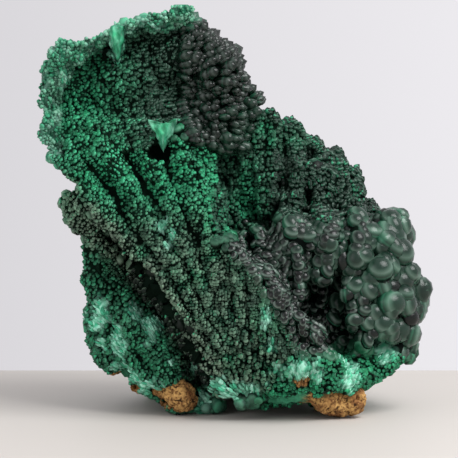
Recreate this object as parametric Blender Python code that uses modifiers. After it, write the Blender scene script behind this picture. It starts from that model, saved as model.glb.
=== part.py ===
"""A botryoidal malachite specimen that stands on its broken base.

X runs to the right of the display face, Y away from it, Z up. The origin is on the table, under the
middle of the object. Every list of a growth form below is in millimetres.
"""
import math

import bmesh
import bpy
import numpy as np
from mathutils import Matrix, Vector

MM = 0.001

# Driving dimensions, in millimetres
WIDTH = 174.0
HEIGHT = 178.0
FIT_GAP = 0.6
SEED = 11
STROKE_PITCH = 0.8
STROKE_WANDER = 0.16
ROUGH_GRAIN = 9.0
ROUGH_HEIGHT = 3.0
FUSE_VOXEL = 1.3
LIMONITE_VOXEL = 1.3
MALACHITE_FACES = 7400
LIMONITE_FACES = 480
LIMONITE_GRAIN = 4.0
LIMONITE_ROUGHNESS = 3.0
TABLE_THICKNESS = 100.0

# A stroke is a run of (x, y, z, radius) points that a growth fills. These make the thick plate behind
# the display face.
PLATE = [
    [(-69, 11, 140, 14), (-48, 14, 148, 18), (-24, 14, 157, 17), (-20, 13, 167, 9)],
    [(-69, 11, 124, 15), (-46, 16, 126, 20), (-22, 17, 134, 20), (-12, 16, 150, 12)],
    [(-72, 4, 128, 8), (-72, 4, 142, 8), (-68, 4, 152, 8), (-52, 4, 158, 8), (-36, 5, 164, 8),
     (-24, 6, 168, 8)],
    [(-60, 8, 106, 15), (-36, 12, 106, 20), (-10, 18, 112, 18), (16, 25, 113, 15), (38, 27, 103, 14)],
    [(-50, 8, 82, 15), (-30, 10, 82, 20), (0, 24, 84, 18), (28, 25, 84, 18), (52, 16, 78, 16)],
    [(-46, 6, 54, 15), (-28, 6, 50, 20), (0, 14, 54, 22), (34, 14, 52, 20), (60, 8, 56, 17)],
    [(-50, 4, 32, 15), (-28, 6, 28, 18), (0, 8, 32, 20), (34, 6, 30, 20), (58, 6, 32, 17)],
]
# The crumbly crust along the upper left rim, the peak at its right end and the tongue it hangs down.
RIM = [
    [(-78, 0, 124, 5), (-80, -2, 136, 4), (-78, -4, 147, 5), (-74, -5, 157, 5), (-67, -6, 159, 5),
     (-58, -5, 163, 4), (-48, -6, 165, 5), (-38, -4, 170, 5), (-30, -4, 172, 5), (-22, -2, 173, 5)],
    [(-25, 2, 171, 6), (-20, 2, 174, 5), (-15, 4, 167, 5)],
    [(-51, -8, 161, 4), (-50, -11, 156, 3), (-50, -10, 152, 3)],
]
# The shingled sheet: overlapping bands that fan out from the base to the upper left. The first line
# is its free left border, which overhangs, and the second ends in the upright column beside the bowl.
# A core stands behind the bands.
SHEET_BORDER = [(-76, -6, 124), (-68, -12, 110), (-56, -20, 92), (-42, -27, 72), (-28, -32, 56),
                (-16, -35, 38), (-4, -34, 20), (4, -30, 12)]
SHEET_RIDGE = [(-24, -6, 124), (-19, -15, 114), (-15, -23, 98), (-12, -29, 82), (-5, -35, 66),
               (6, -39, 48), (18, -40, 32), (26, -34, 16)]
SHEET_BANDS = 7
SHEET_BAND_RADIUS = 6.0
SHEET_STEP = 2.5
SHEET_CORES = (0.4, 0.7, 0.95)
SHEET_CORE_RADIUS = 11.0
SHEET_CORE_DEPTH = 12.0
# Lobes that scallop the free border, one to each of the stretches it is parted in.
SHEET_LOBES = 12
SHEET_LOBE_RADIUS = 5.5
SHEET_LOBE_REACH = (-4.0, -1.0, -3.0)
# The sheet's lower right, which runs on to the right foot.
SHEET_FOOT = [
    [(-8, -33, 76, 6), (4, -36, 66, 6), (14, -38, 55, 7), (26, -40, 41, 7), (38, -36, 26, 7),
     (47, -28, 15, 7)],
    [(14, -38, 45, 8), (26, -39, 30, 8), (36, -34, 17, 7)],
    [(4, -28, 62, 9), (18, -30, 44, 9), (32, -28, 26, 9)],
]
# Ridges of small knobs that come down from the right skyline.
SLOPE = [
    [(-13, 4, 158, 6), (-7, 3, 147, 8), (-6, 2, 134, 8), (-4, 2, 118, 7)],
    [(7, 14, 134, 5), (5, 9, 112, 5), (4, 9, 94, 5)],
    [(17, 14, 128, 5), (15, 5, 106, 6), (13, 2, 88, 5)],
    [(28, 15, 122, 5), (27, 3, 104, 6), (24, -3, 88, 5)],
    [(39, 16, 112, 5), (39, 4, 98, 6), (36, -4, 86, 5)],
    [(49, 15, 105, 5), (51, 5, 92, 6), (49, -3, 84, 5)],
]
# Long lobes that swell forward below the slope.
LOBES = [
    [(8, -11, 77, 7), (13, -17, 68, 8), (17, -20, 58, 7)],
    [(22, -12, 85, 7), (25, -20, 75, 8), (26, -23, 64, 8), (25, -25, 54, 6)],
    [(37, -12, 85, 7), (38, -20, 76, 8), (38, -21, 66, 7)],
    [(49, -10, 84, 7), (52, -17, 74, 8), (53, -19, 64, 7)],
    [(20, -27, 50, 6), (28, -32, 41, 6), (34, -35, 32, 6)],
]
# Round balls (x, y, z, radius) in the grape-like cluster at the far right.
BALLS = [
    (66, -2, 82, 8), (71, 4, 78, 6), (60, -12, 75, 8), (69, -9, 70, 7), (71, -9, 61, 6),
    (79, -2, 55, 7), (61, -18, 62, 8), (52, -22, 55, 7), (62, -20, 50, 7), (71, -14, 50, 7),
    (76, -5, 45, 6), (53, -23, 44, 7), (63, -20, 39, 7), (72, -10, 37, 7), (73, -3, 29, 7),
    (66, -13, 28, 8), (55, -21, 34, 6),
]
# The lower left mass, behind and below the sheet, and the bump above it.
LOWER_LEFT = [
    [(-70, 0, 92, 6), (-65, -3, 83, 6), (-57, -6, 74, 7), (-54, -5, 64, 8)],
    [(-56, -5, 62, 8), (-56, -8, 48, 9), (-56, -8, 36, 9), (-52, -8, 25, 9)],
    [(-44, -10, 52, 8), (-42, -15, 38, 10), (-40, -17, 26, 10), (-36, -15, 14, 8)],
    [(-30, -14, 36, 8), (-27, -19, 24, 9), (-24, -18, 11, 9), (-16, -16, 10, 7)],
]
# The right end of the base, and the part of it that hangs between the feet.
BASE = [
    [(66, -6, 28, 9), (60, -12, 22, 9), (50, -20, 18, 9)],
    [(-10, -8, 14, 8), (8, -10, 18, 8), (24, -12, 18, 9), (42, -10, 14, 10)],
]
# The broken back swells in ribs that fan out from the base to these tips (x, y, z, radius).
BACK_HUB = (2, 30, 4)
BACK_TIPS = [(-62, 16, 122, 13), (-42, 20, 142, 13), (-22, 20, 154, 11), (-2, 24, 130, 13),
             (22, 26, 112, 13), (42, 24, 98, 12), (58, 18, 74, 13), (64, 14, 50, 13), (56, 14, 30, 13),
             (-48, 16, 96, 13), (-50, 14, 66, 13), (-50, 12, 42, 13), (-46, 10, 26, 12)]
BACK_BULGE = 10.0
BACK_RIB_RADIUS = 15.0
# How far up a rib its lower and its most bulging points lie, as shares of its length.
BACK_RIB_LOW = 0.25
BACK_RIB_MIDDLE = 0.6
# Feet (x, y, z, radius) that reach below the table plane and are cut flat on it.
FEET = [(-24, -14, 6, 9), (-12, -13, 6, 8), (-22, 34, 8, 13), (24, 36, 8, 13), (40, -8, 8, 10)]

# Limonite that shows at the feet.
LIMONITE_LEFT = [[(-30, -18, 11, 5), (-25, -21, 12, 6), (-21, -20, 7, 6)]]
LIMONITE_RIGHT = [
    [(14, -24, 9, 4), (25, -30, 13, 5), (34, -30, 13, 6), (42, -28, 7, 7), (50, -24, 7, 7),
     (46, -16, 8, 7)],
]

# Hollows (x, y, z, half width, half depth, half height): the cave under the sheet, the upright
# fissure at its foot, the cavity among the balls, the hole in the bowl, and the arch under the base
# between the front feet and the back ones.
HOLLOWS = [
    (-50, -18, 66, 8, 12, 10), (-38, -22, 50, 7, 12, 9), (-14, -17, 22, 4, 12, 14),
    (42, -24, 46, 5, 16, 16), (6, -2, 78, 4, 8, 5), (2, 10, 0, 90, 9, 7),
]

COLOURS = {
    "malachite": ((0.035, 0.14, 0.09), 0.7),
    "limonite_left": ((0.42, 0.22, 0.08), 0.95),
    "limonite_right": ((0.42, 0.22, 0.08), 0.95),
}


def clear_scene():
    for old in list(bpy.data.objects):
        bpy.data.objects.remove(old, do_unlink=True)


def new_collection(name):
    collection = bpy.data.collections.new(name)
    bpy.context.scene.collection.children.link(collection)
    return collection


def new_object(name, shape, collection):
    mesh = bpy.data.meshes.new(name)
    shape.to_mesh(mesh)
    shape.free()
    thing = bpy.data.objects.new(name, mesh)
    collection.objects.link(thing)
    return thing


def add_ball(shape, centre, radii):
    """A ball, or an ellipsoid where the three radii differ."""
    place = Matrix.Translation(Vector(centre) * MM) @ Matrix.Diagonal((*(Vector(radii) * MM), 1.0))
    bmesh.ops.create_icosphere(shape, subdivisions=2, radius=1.0, matrix=place)


def add_stroke(shape, points, dice):
    """Balls along a run of points, close enough to fuse, each a little out of line and out of size."""
    for start, end in zip(points, points[1:]):
        span = math.dist(start[:3], end[:3])
        steps = max(1, math.ceil(span / (STROKE_PITCH * min(start[3], end[3]))))
        for step in range(steps):
            x, y, z, radius = between(start, end, step / steps)
            shift = dice.uniform(-STROKE_WANDER, STROKE_WANDER, 3) * radius
            size = radius * dice.uniform(1.0 - STROKE_WANDER, 1.0 + STROKE_WANDER)
            add_ball(shape, (x, y, z) + shift, (size, size, size))
    x, y, z, radius = points[-1]
    add_ball(shape, (x, y, z), (radius, radius, radius))


def between(start, end, share):
    """The point a share of the way from one point to another."""
    return np.array(start) + (np.array(end) - np.array(start)) * share


def add_sheet(shape, dice):
    """Bands from the free border to the ridge, with every other one set back like a shingle."""
    for band in range(SHEET_BANDS):
        share = band / (SHEET_BANDS - 1)
        back = SHEET_STEP * (band % 2)
        line = [between(a, b, share) for a, b in zip(SHEET_BORDER, SHEET_RIDGE)]
        add_stroke(shape, [(x, y + back, z, SHEET_BAND_RADIUS) for x, y, z in line], dice)
    for share in SHEET_CORES:
        line = [between(a, b, share) for a, b in zip(SHEET_BORDER, SHEET_RIDGE)]
        add_stroke(shape, [(x, y + SHEET_CORE_DEPTH, z, SHEET_CORE_RADIUS) for x, y, z in line], dice)
    for lobe in range(SHEET_LOBES):
        stretch, share = divmod(lobe * (len(SHEET_BORDER) - 1) / SHEET_LOBES, 1.0)
        place = between(SHEET_BORDER[int(stretch)], SHEET_BORDER[int(stretch) + 1], share)
        reach = np.array(SHEET_LOBE_REACH) * dice.uniform(0.3, 1.0)
        size = SHEET_LOBE_RADIUS * dice.uniform(0.8, 1.2)
        add_ball(shape, place + reach, (size, size, size))


def add_back(shape, dice):
    """Ribs that leave the base together and bulge backward on their way to their tips."""
    for x, y, z, radius in BACK_TIPS:
        low = between(BACK_HUB, (x, y, z), BACK_RIB_LOW) + (0, BACK_BULGE / 2, 0)
        middle = between(BACK_HUB, (x, y, z), BACK_RIB_MIDDLE) + (0, BACK_BULGE, 0)
        add_stroke(shape, [(*low, BACK_RIB_RADIUS), (*middle, BACK_RIB_RADIUS), (x, y, z, radius)], dice)


def apply_modifiers(thing):
    """The object's mesh becomes what its modifiers make of it."""
    graph = bpy.context.evaluated_depsgraph_get()
    mesh = bpy.data.meshes.new_from_object(thing.evaluated_get(graph), depsgraph=graph)
    thing.modifiers.clear()
    thing.data = mesh


def fuse(thing, voxel):
    """Overlapping balls become one skin."""
    remesh = thing.modifiers.new("fuse", "REMESH")
    remesh.mode = "VOXEL"
    remesh.voxel_size = voxel * MM
    apply_modifiers(thing)


def keep_largest_body(thing):
    """Removes closed-in pockets and crumbs that a cut set loose, which leaves the one outer body."""
    shape = bmesh.new()
    shape.from_mesh(thing.data)
    islands = []
    unseen = set(shape.verts)
    while unseen:
        front = [unseen.pop()]
        island = list(front)
        while front:
            vert = front.pop()
            for edge in vert.link_edges:
                other = edge.other_vert(vert)
                if other in unseen:
                    unseen.remove(other)
                    front.append(other)
                    island.append(other)
        islands.append(island)
    islands.sort(key=len)
    inner = [vert for island in islands[:-1] for vert in island]
    bmesh.ops.delete(shape, geom=inner, context="VERTS")
    shape.to_mesh(thing.data)
    shape.free()


def roughen(thing, grain, height):
    """Pushes the skin out and in by clouds of the given grain, in millimetres."""
    texture = bpy.data.textures.new(f"{thing.name}_clouds", "CLOUDS")
    texture.noise_scale = grain * MM
    displace = thing.modifiers.new("rough", "DISPLACE")
    displace.texture = texture
    displace.texture_coords = "LOCAL"
    displace.strength = height * MM


def thin_out(thing, faces):
    """Reduces the skin to about the given number of triangles."""
    triangles = sum(len(face.vertices) - 2 for face in thing.data.polygons)
    decimate = thing.modifiers.new("thin", "DECIMATE")
    decimate.ratio = min(1.0, faces / triangles)
    apply_modifiers(thing)


def cut(thing, cutter):
    boolean = thing.modifiers.new("cut", "BOOLEAN")
    boolean.operation = "DIFFERENCE"
    boolean.solver = "EXACT"
    boolean.object = cutter


def make_cutter(name, shape, cutters):
    cutter = new_object(name, shape, cutters)
    cutter.hide_render = True
    cutter.display_type = "WIRE"
    return cutter


def table_cutter(cutters):
    """A block whose top is the table plane."""
    shape = bmesh.new()
    place = Matrix.Translation(Vector((0, 0, -TABLE_THICKNESS / 2)) * MM)
    size = Matrix.Diagonal((*(Vector((3 * WIDTH, 3 * WIDTH, TABLE_THICKNESS)) * MM), 1.0))
    bmesh.ops.create_cube(shape, size=1.0, matrix=place @ size)
    return make_cutter("table_plane", shape, cutters)


def hollow_cutter(cutters):
    shape = bmesh.new()
    for x, y, z, *radii in HOLLOWS:
        add_ball(shape, (x, y, z), radii)
    return make_cutter("hollows", shape, cutters)


def size_and_centre(things):
    """Brings the whole object to its width and height, with its box centred over the origin."""
    corners = np.array([vert.co[:] for thing in things for vert in thing.data.vertices])
    low, high = corners.min(axis=0), corners.max(axis=0)
    across = WIDTH * MM / (high[0] - low[0])
    upward = HEIGHT * MM / high[2]
    size = Matrix.Diagonal((across, math.sqrt(across * upward), upward, 1.0))
    centre = Matrix.Translation((-(low[0] + high[0]) / 2, -(low[1] + high[1]) / 2, 0.0))
    for thing in things:
        thing.data.transform(size @ centre)


def paint(thing):
    colour, roughness = COLOURS[thing.name]
    material = bpy.data.materials.new(thing.name)
    material.use_nodes = True
    surface = material.node_tree.nodes["Principled BSDF"]
    surface.inputs["Base Color"].default_value = (*colour, 1.0)
    surface.inputs["Roughness"].default_value = roughness
    surface.inputs["Metallic"].default_value = 0.0
    thing.data.materials.clear()
    thing.data.materials.append(material)


def limonite(name, strokes, parts, cutters, table):
    """A lump of matrix, and the cutter that makes its pocket in the malachite."""
    shape = bmesh.new()
    dice = np.random.default_rng(SEED)
    for stroke in strokes:
        add_stroke(shape, stroke, dice)
    lump = new_object(name, shape, parts)
    fuse(lump, LIMONITE_VOXEL)
    roughen(lump, LIMONITE_GRAIN, LIMONITE_ROUGHNESS)
    apply_modifiers(lump)
    thin_out(lump, LIMONITE_FACES)
    pocket = pocket_cutter(lump, cutters)
    cut(lump, table)
    apply_modifiers(lump)
    return lump, pocket


def pocket_cutter(lump, cutters):
    """The lump grown by the gap that parts it from the malachite."""
    shape = bmesh.new()
    shape.from_mesh(lump.data)
    cutter = make_cutter(f"{lump.name}_pocket", shape, cutters)
    grow = cutter.modifiers.new("gap", "DISPLACE")
    grow.strength = FIT_GAP * MM
    grow.mid_level = 0.0
    return cutter


def malachite(parts, table, hollows):
    shape = bmesh.new()
    dice = np.random.default_rng(SEED)
    for form in (PLATE, RIM, SHEET_FOOT, SLOPE, LOBES, LOWER_LEFT, BASE):
        for stroke in form:
            add_stroke(shape, stroke, dice)
    add_sheet(shape, dice)
    add_back(shape, dice)
    for x, y, z, radius in BALLS + FEET:
        add_ball(shape, (x, y, z), (radius, radius, radius))
    growth = new_object("malachite", shape, parts)
    fuse(growth, FUSE_VOXEL)
    keep_largest_body(growth)
    roughen(growth, ROUGH_GRAIN, ROUGH_HEIGHT)
    cut(growth, hollows)
    apply_modifiers(growth)
    thin_out(growth, MALACHITE_FACES)
    cut(growth, table)
    apply_modifiers(growth)
    return growth


def main():
    clear_scene()
    parts = new_collection("malachite_specimen")
    cutters = new_collection("cutters")
    table = table_cutter(cutters)
    hollows = hollow_cutter(cutters)
    left, left_pocket = limonite("limonite_left", LIMONITE_LEFT, parts, cutters, table)
    right, right_pocket = limonite("limonite_right", LIMONITE_RIGHT, parts, cutters, table)
    growth = malachite(parts, table, hollows)
    cut(growth, left_pocket)
    cut(growth, right_pocket)
    apply_modifiers(growth)
    keep_largest_body(growth)
    size_and_centre((growth, left, right))
    for thing in (growth, left, right):
        paint(thing)


main()
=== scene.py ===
import itertools
import math

import bpy
import bmesh
import numpy as np
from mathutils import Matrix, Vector


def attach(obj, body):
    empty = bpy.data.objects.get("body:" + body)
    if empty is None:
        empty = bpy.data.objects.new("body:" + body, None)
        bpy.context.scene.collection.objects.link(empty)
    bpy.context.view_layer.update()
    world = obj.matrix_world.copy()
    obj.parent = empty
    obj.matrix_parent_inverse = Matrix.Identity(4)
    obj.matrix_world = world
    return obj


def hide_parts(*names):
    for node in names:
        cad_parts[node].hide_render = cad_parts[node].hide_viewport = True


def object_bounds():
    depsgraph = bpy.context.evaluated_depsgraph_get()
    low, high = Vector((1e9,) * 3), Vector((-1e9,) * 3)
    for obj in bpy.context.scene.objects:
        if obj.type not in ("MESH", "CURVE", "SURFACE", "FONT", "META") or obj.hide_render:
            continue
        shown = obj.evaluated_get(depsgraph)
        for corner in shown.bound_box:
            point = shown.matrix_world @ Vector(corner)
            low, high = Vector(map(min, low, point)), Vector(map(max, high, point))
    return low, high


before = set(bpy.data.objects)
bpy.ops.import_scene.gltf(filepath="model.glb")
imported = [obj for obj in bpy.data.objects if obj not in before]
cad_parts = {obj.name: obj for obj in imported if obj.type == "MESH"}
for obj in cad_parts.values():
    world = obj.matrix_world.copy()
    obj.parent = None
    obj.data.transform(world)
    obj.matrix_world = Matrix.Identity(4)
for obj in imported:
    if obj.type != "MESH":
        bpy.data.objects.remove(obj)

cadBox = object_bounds()
mm = 0.001

# The specimen stands on the table plane and is looked at from the front, a little from above.
# All sizes and places below are in millimetres unless a name says otherwise.

cameraFacts = {
    "distance": 1000.0,                # from the eye to the point aimed at
    "lift": 4.5,                       # degrees that the eye stands above the level
    "frameWidth": 201.5,               # width of the picture at the point aimed at
    "aim": (-3.0, -3.5, 79.8),
}


def inScene(name, data):
    # a new object that is part of the scene
    thing = bpy.data.objects.new(name, data)
    bpy.context.scene.collection.objects.link(thing)
    return thing


def makeCamera():
    # The eye stands back from the aim by the distance, along a line lifted above the level, and the
    # lens is as long as makes the frame's width fill the picture there.
    lens = bpy.data.cameras.new("camera")
    camera = inScene("camera", lens)
    lens.lens = lens.sensor_width * cameraFacts["distance"] / cameraFacts["frameWidth"]
    tilt = math.radians(cameraFacts["lift"])
    aim = Vector(cameraFacts["aim"])
    eye = aim + Vector((0, -math.cos(tilt), math.sin(tilt))) * cameraFacts["distance"]
    camera.location = eye * mm
    camera.rotation_euler = (aim - eye).to_track_quat("-Z", "Y").to_euler()
    bpy.context.scene.camera = camera
    return np.array(eye)


eye = makeCamera()


def onMiddlePlane(points):
    # x and z where the line from the eye to each point meets the upright plane through the middle of
    # the specimen; the places of the front's features are given there
    share = (cameraFacts["aim"][1] - eye[1]) / (points[:, 1] - eye[1])
    return (eye + (points - eye) * share[:, None])[:, [0, 2]]


def sighted(points, plane, place):
    # number of the nearest point to the eye among those that show within a millimetre of a place;
    # every millimetre further off counts as 50 mm of depth
    off = np.hypot(plane[:, 0] - place[0], plane[:, 1] - place[1])
    return np.argmin(points[:, 1] + 50.0 * np.maximum(off - 1.0, 0.0))


def nearestDepth(points, plane):
    # depth of the skin that shows in every point's own millimetre square of the middle plane
    cell = np.floor(plane - plane.min(axis=0)).astype(np.int64)
    flat = cell[:, 0] * (cell[:, 1].max() + 1) + cell[:, 1]
    nearest = np.full(flat.max() + 1, 1e9)
    np.minimum.at(nearest, flat, points[:, 1])
    return nearest[flat]


def linearColour(hexCode):
    # sRGB hex to the linear values that a shader socket wants
    parts = [int(hexCode[i:i + 2], 16) / 255 for i in (1, 3, 5)]
    linear = [c / 12.92 if c <= 0.04045 else ((c + 0.055) / 1.055) ** 2.4 for c in parts]
    return (*linear, 1.0)


def smoothStep(low, high, value):
    # 0 below low, 1 above high, and an even S-curve between them
    t = np.clip((value - low) / (high - low), 0.0, 1.0)
    return t * t * (3.0 - 2.0 * t)


def diceAt(cell, seed, count):
    # count pseudo-random numbers from 0 to 1 for every whole-number place (x, y, z): the three are
    # multiplied by large primes, and the sum's bits are shifted over one another
    x, y, z = (cell[:, axis].astype(np.uint32) for axis in range(3))
    key = (x * np.uint32(73856093)) ^ (y * np.uint32(19349663)) ^ (z * np.uint32(83492791))
    key ^= np.uint32(seed * 2654435761 % 4294967296)
    out = np.empty((len(cell), count), np.float32)
    for k in range(count):
        v = key + np.uint32(k * 374761393 % 4294967296)
        v = (v ^ (v >> np.uint32(15))) * np.uint32(2246822519)
        v = (v ^ (v >> np.uint32(13))) * np.uint32(3266489917)
        out[:, k] = (v ^ (v >> np.uint32(16))) / 4294967296.0
    return out


def softNoise(points, size, seed):
    # value noise from -1 to 1: random numbers on a lattice of the given size, blended by an S-curve
    q = points / size
    base = np.floor(q).astype(np.int64)
    f = q - base
    f = f * f * (3.0 - 2.0 * f)
    total = np.zeros(len(points))
    for corner in itertools.product((0, 1), repeat=3):
        weight = np.prod(np.where(np.array(corner) == 1, f, 1.0 - f), axis=1)
        total += weight * diceAt(base + corner, seed, 1)[:, 0]
    return total * 2.0 - 1.0


def roughNoise(points, size, seed, octaves=3):
    # soft noise with finer and weaker copies of itself added
    total = sum(softNoise(points, size / 2.0 ** k, seed + 17 * k) * 0.5 ** k for k in range(octaves))
    return total / sum(0.5 ** k for k in range(octaves))


def seedCrowd(local, size, seed, closest, shake):
    # Seeds for a crowd of knobs: in each cell of the given size the point nearest to the cell's shaken
    # middle, less those with a stronger neighbour closer than closest cells. Gives the seeds' numbers
    # and ranks, all places in cells, each point's cell number, the steps to the cells round it and the
    # table from cell number to seed.
    start = np.floor(local.min(axis=0) / size) - 1.0
    q = local / size - start
    cell = q.astype(np.int64)
    shape = cell.max(axis=0) + 2
    flat = (cell[:, 0] * shape[1] + cell[:, 1]) * shape[2] + cell[:, 2]
    steps = [(i * shape[1] + j) * shape[2] + k for i, j, k in itertools.product((-1, 0, 1), repeat=3)]
    dice = diceAt(cell, seed, 4)
    miss = ((q - cell - 0.5 - shake * (dice[:, :3] - 0.5)) ** 2).sum(axis=1)
    order = np.lexsort((miss, flat))
    chosen = order[np.unique(flat[order], return_index=True)[1]]
    table = np.full(np.prod(shape), -1)
    table[flat[chosen]] = np.arange(len(chosen))
    middle, rank = q[chosen], dice[chosen, 3]
    kept = np.ones(len(chosen), bool)
    for step in steps:
        other = table[flat[chosen] + step]
        near = ((middle - middle[other]) ** 2).sum(axis=1) < closest ** 2
        kept &= ~((other >= 0) & near & (rank[other] > rank))
    chosen = chosen[kept]
    table[:] = -1
    table[flat[chosen]] = np.arange(len(chosen))
    return chosen, rank[kept], q, flat, steps, table


def knobCrowd(local, size, seed, smallest=0.58, largest=0.8, closest=0.56):
    # A crowd of balls whose middles lie on the skin itself, about one to a cell of the given size.
    # Gives how far the highest ball rises over a point, its cap, which is 1 on its crown and 0 at its
    # foot, the gap, which is 0 where two balls meet, and the ball's own random number.
    chosen, rank, q, flat, steps, table = seedCrowd(local, size, seed, closest, 0.6)
    middle = q[chosen]
    radius = smallest + (largest - smallest) * rank
    best, second = np.full(len(q), -4.0), np.full(len(q), -4.0)
    owner = np.zeros(len(q), np.int64)
    for step in steps:
        other = table[flat + step]
        away = q - middle[other]
        power = np.where(other >= 0, radius[other] ** 2 - np.einsum("ij,ij->i", away, away), -4.0)
        nearer = power > best
        second = np.where(nearer, best, np.maximum(second, power))
        owner = np.where(nearer, other, owner)
        best = np.where(nearer, power, best)
    height = np.maximum(best, 0.0)
    gap = np.clip(best - second, 0.0, 1.0)
    return np.sqrt(height), height / radius[owner] ** 2, gap, rank[owner]


def unitLong(ways):
    # directions of length 1
    return ways / np.linalg.norm(ways, axis=1, keepdims=True)


def unitBall(cuts):
    # a closed ball of radius 1 without poles: a cube's six faces, each cut into squares and pushed out
    t = np.tan(np.linspace(-np.pi / 4, np.pi / 4, cuts + 1))
    a, b = np.meshgrid(t, t, indexing="ij")
    one = np.ones_like(a)
    sheets = ((one, a, b), (-one, b, a), (b, one, a), (a, -one, b), (a, b, one), (b, a, -one))
    places = np.concatenate([np.stack(sheet, axis=-1).reshape(-1, 3) for sheet in sheets])
    number = np.arange(len(places)).reshape(6, cuts + 1, cuts + 1)
    quads = np.stack([number[:, :-1, :-1], number[:, 1:, :-1],
                      number[:, 1:, 1:], number[:, :-1, 1:]], axis=-1)
    _, first, same = np.unique(places.round(6), axis=0, return_index=True, return_inverse=True)
    places = places[first]
    return unitLong(places), same.ravel()[quads.reshape(-1, 4)]


def pebbleBall():
    # the simplest round ball: twelve four-cornered faces, one over each edge of a cube
    corners = []
    for turn in range(3):
        for s, t in ((1, 1), (-1, 1), (-1, -1), (1, -1)):
            face = np.array([(-1, s, t), (0, s * 3 ** 0.5, 0), (1, s, t), (0, 0, t * 3 ** 0.5)]) / 3 ** 0.5
            corners.append(np.roll(face[::-s * t], turn, axis=1))
    corners = np.concatenate(corners)
    _, first, same = np.unique(corners.round(6), axis=0, return_index=True, return_inverse=True)
    return corners[first], same.reshape(-1, 4)


def manyBalls(middle, axis, radius, length, squash, cuts):
    # One ball to each middle, stretched along its own axis by length and squashed across it by two
    # shares. way is the direction from the middle to each point of the ball before that.
    unit, quads = unitBall(cuts) if cuts > 1 else pebbleBall()
    helper = np.where(np.abs(axis[:, 2:3]) < 0.8, (0.0, 0.0, 1.0), (1.0, 0.0, 0.0))
    side = unitLong(np.cross(axis, helper))
    frames = np.stack([side, np.cross(axis, side), axis], axis=1)
    way = np.einsum("kc,ncx->nkx", unit, frames)
    stretch = np.concatenate([squash, length[:, None]], axis=1)
    places = middle[:, None] + radius[:, None, None] * np.einsum("kc,nc,ncx->nkx", unit, stretch, frames)
    faces = quads + len(unit) * np.arange(len(middle))[:, None, None]
    return places.reshape(-1, 3), faces.reshape(-1, 4), way.reshape(-1, 3), len(unit)


def farFrom(places, line):
    # distance of every place from a run of straight stretches
    corners = np.array(line, float)
    far = np.full(len(places), 1e9)
    for start, end in zip(corners[:-1], corners[1:]):
        span = end - start
        share = np.clip((places - start) @ span / max(span.dot(span), 1e-9), 0.0, 1.0)
        far = np.minimum(far, np.linalg.norm(places - start - share[:, None] * span, axis=1))
    return far


def nearLine(places, line, reach, soft, ragged=0.0):
    # 1 close to a line and 0 further from it than the reach
    return 1.0 - smoothStep(1.0 - soft, 1.0 + soft, farFrom(places, line) / reach + ragged)


def insideOutline(plane, outline, soft):
    # 1 inside a closed outline and 0 outside it, passing over within a soft border
    closed = np.array(outline + outline[:1], float)
    inside = np.zeros(len(plane), bool)
    for start, end in zip(closed[:-1], closed[1:]):
        span = end - start
        crosses = (start[1] > plane[:, 1]) != (end[1] > plane[:, 1])
        at = start[0] + (plane[:, 1] - start[1]) * span[0] / (span[1] if span[1] else 1e-9)
        inside ^= crosses & (plane[:, 0] < at)
    far = farFrom(plane, closed)
    return smoothStep(-soft, soft, np.where(inside, far, -far))


def quadArrays(mesh):
    # a mesh of quads as an array of places in millimetres and one of corner numbers
    places = np.empty(len(mesh.vertices) * 3)
    mesh.vertices.foreach_get("co", places)
    corners = np.empty(len(mesh.loops), np.int64)
    mesh.loops.foreach_get("vertex_index", corners)
    return places.reshape(-1, 3) / mm, corners.reshape(-1, 4)


def meshFromArrays(name, places, faces, values=None):
    # a mesh from places in millimetres, faces of equal corner count, and named numbers or
    # directions per point
    mesh = bpy.data.meshes.new(name)
    sides = faces.shape[1]
    mesh.vertices.add(len(places))
    mesh.vertices.foreach_set("co", (places * mm).astype(np.float32).ravel())
    mesh.loops.add(faces.size)
    mesh.loops.foreach_set("vertex_index", faces.astype(np.int32).ravel())
    mesh.polygons.add(len(faces))
    mesh.polygons.foreach_set("loop_start", np.arange(0, faces.size, sides, dtype=np.int32))
    mesh.update(calc_edges=True)
    mesh.validate()
    mesh.polygons.foreach_set("use_smooth", np.ones(len(mesh.polygons), bool))
    for label, numbers in (values or {}).items():
        kind, field = ("FLOAT", "value") if numbers.ndim == 1 else ("FLOAT_VECTOR", "vector")
        layer = mesh.attributes.new(label, kind, "POINT")
        layer.data.foreach_set(field, numbers.astype(np.float32).ravel())
    return mesh


def newPiece(mesh, material, slotName, *nodes):
    # a piece that rides on the body, wears the given finish and stands for the named nodes; the slot's name
    # is not used
    piece = inScene(mesh.name, mesh)
    mesh.materials.append(material)
    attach(piece, "root")
    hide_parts(*nodes)
    print(mesh.name, len(mesh.loops) - 2 * len(mesh.polygons), "triangles")


def outward(places, faces):
    # unit normals at the points, from the cross product of each quad's diagonals
    a, b, c, d = (places[faces[:, k]] for k in range(4))
    cross = np.cross(c - a, d - b)
    total = np.stack([sum(np.bincount(faces[:, k], cross[:, axis], len(places)) for k in range(4))
                      for axis in range(3)], axis=1)
    return total / np.maximum(np.linalg.norm(total, axis=1, keepdims=True), 1e-9)


def relaxed(places, faces, rounds):
    # each round moves every point half way to the mean of its neighbours along the quads' sides
    ends = np.concatenate([faces[:, [k, (k + 1) % 4]] for k in range(4)])
    count = np.bincount(ends[:, 0], minlength=len(places)) + np.bincount(ends[:, 1], minlength=len(places))
    for _ in range(rounds):
        mean = np.empty_like(places)
        for axis in range(3):
            mean[:, axis] = (np.bincount(ends[:, 0], places[ends[:, 1], axis], len(places))
                             + np.bincount(ends[:, 1], places[ends[:, 0], axis], len(places))) / count
        places = places + 0.5 * (mean - places)
    return places


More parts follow.
